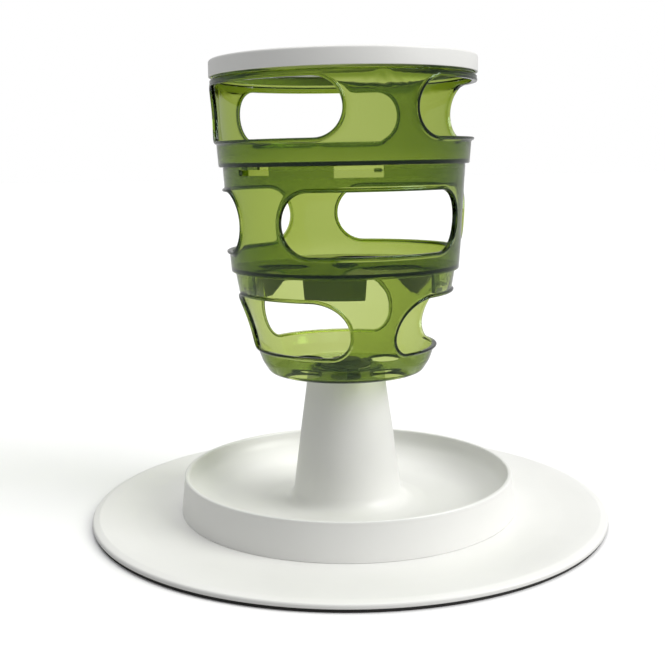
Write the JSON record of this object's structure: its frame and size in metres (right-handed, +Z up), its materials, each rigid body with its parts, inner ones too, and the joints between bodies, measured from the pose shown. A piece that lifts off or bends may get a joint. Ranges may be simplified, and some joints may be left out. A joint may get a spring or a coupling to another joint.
{
  "type": "cat food tree",
  "caption": "Stacked see-through cat feeder: kibble falls from level to level through drop holes and a turning shutter into a round tray on a wide base plate.",
  "frame": {"origin": "centre of the rubber ring that the tree stands on, at floor height", "axes": "+Z up along the trunk; -Y is the front that the picture shows; +X is to the viewer's right"},
  "size_m": [0.36, 0.36, 0.3141],
  "materials": {
    "white_plastic": "satin white moulding",
    "green_clear_plastic": "glossy see-through green",
    "grey_plastic": "satin grey",
    "dark_rubber": "matt rubber"
  },
  "bodies": {
    "base": {"base_plate": "white_plastic", "anti_slip_ring": "dark_rubber", "centre_pads": "dark_rubber"},
    "tray": {"tray_trunk": "white_plastic", "trunk_insert": "grey_plastic"},
    "bowl": {"lower_bowl": "green_clear_plastic"},
    "knob": {"lock_knob": "grey_plastic"},
    "middle": {"middle_level": "green_clear_plastic"},
    "middle_shutter": {"middle_shutter": "grey_plastic", "middle_shutter_pin": "grey_plastic"},
    "upper": {"upper_level": "green_clear_plastic"},
    "ring": {"top_ring": "white_plastic"}
  },
  "joints": [
    {"name": "tray_twist_lock", "type": "hinge", "parent": "base", "child": "tray", "pos_m": [0, 0, 0.012], "axis": [0, 0, 1], "range_deg": [0, 40]},
    {"name": "bowl_turn", "type": "hinge", "parent": "tray", "child": "bowl", "pos_m": [0, 0, 0.103], "axis": [0, 0, 1], "range_deg": [0, 30]},
    {"name": "knob_turn", "type": "hinge", "parent": "tray", "child": "knob", "pos_m": [0, 0, 0.108], "axis": [0, 0, 1], "range_deg": [0, 90]},
    {"name": "middle_twist_lock", "type": "hinge", "parent": "bowl", "child": "middle", "pos_m": [0, 0, 0.163], "axis": [0, 0, 1], "range_deg": [0, 12]},
    {"name": "middle_shutter_turn", "type": "hinge", "parent": "middle", "child": "middle_shutter", "pos_m": [0, 0, 0.1745], "axis": [0, 0, 1], "range_deg": [0, 60]},
    {"name": "upper_twist_lock", "type": "hinge", "parent": "middle", "child": "upper", "pos_m": [0, 0, 0.24], "axis": [0, 0, 1], "range_deg": [0, 15]},
    {"name": "ring_lift_off", "type": "slide", "parent": "upper", "child": "ring", "axis": [0, 0, 1], "range_m": [0, 0.04]}
  ]
}
